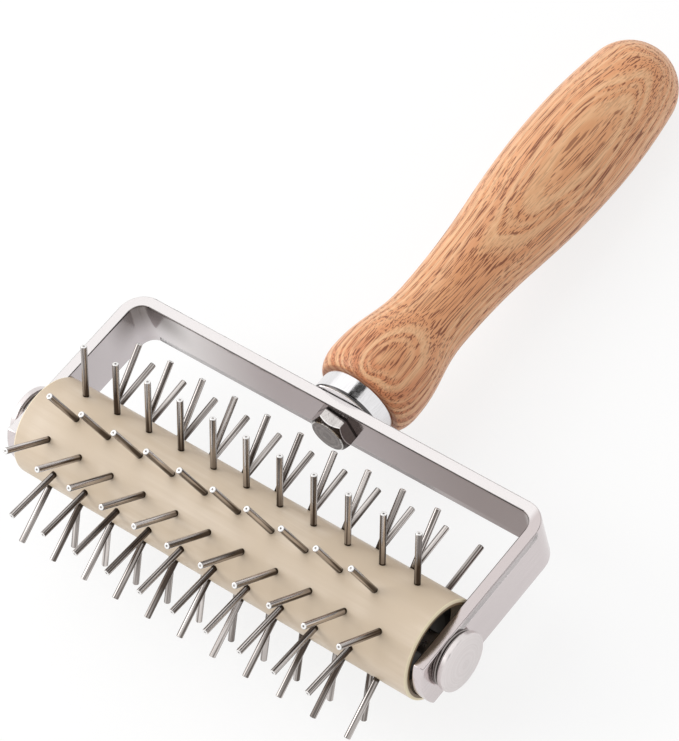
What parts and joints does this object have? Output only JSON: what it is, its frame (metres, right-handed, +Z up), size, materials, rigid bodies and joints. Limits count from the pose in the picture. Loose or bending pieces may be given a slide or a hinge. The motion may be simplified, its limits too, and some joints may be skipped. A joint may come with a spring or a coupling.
{
  "type": "dough docker",
  "caption": "Hand dough docker: a steel-pinned roller that spins in a bent flat-bar yoke on a turned wooden handle.",
  "frame": {"origin": "on the table under the middle of the docker's bounding box, as it lies on its lowest pins and its grip", "axes": "+X along the roller's axle, towards the cap seen in the picture; +Y towards the handle's end; +Z up"},
  "size_m": [0.133, 0.1918, 0.0549],
  "materials": {
    "yoke_steel": "fine brushed, bright edges",
    "handle_wood": "oiled, open pores along the grain",
    "ferrule_chrome": "polished",
    "bolt_steel": "machined",
    "insert_brass": "machined",
    "axle_steel": "drawn",
    "washer_steel": "turned",
    "cap_steel": "satin polished",
    "sleeve_plastic": "fine satin",
    "core_plastic": "matt",
    "bush_plastic": "satin",
    "pin_steel": "drawn wire, cut tips"
  },
  "bodies": {
    "frame": {"yoke": "yoke_steel", "handle": "handle_wood", "ferrule": "ferrule_chrome", "handle_bolt": "bolt_steel", "handle_insert": "insert_brass", "axle": "axle_steel", "axle_washer_left": "washer_steel", "axle_washer_right": "washer_steel", "axle_cap_left": "cap_steel", "axle_cap_right": "cap_steel"},
    "roller": {"roller_sleeve": "sleeve_plastic", "roller_core": "core_plastic", "bush_left": "bush_plastic", "bush_right": "bush_plastic", "pin_row_01": "pin_steel", "pin_row_02": "pin_steel", "pin_row_03": "pin_steel", "pin_row_04": "pin_steel", "pin_row_05": "pin_steel", "pin_row_06": "pin_steel", "pin_row_07": "pin_steel", "pin_row_08": "pin_steel", "pin_row_09": "pin_steel", "pin_row_10": "pin_steel"}
  },
  "joints": [
    {"name": "roller_spin", "type": "hinge", "parent": "frame", "child": "roller", "pos_m": [0, -0.0694, 0.02747], "axis": [1, 0, 0], "continuous": true}
  ]
}
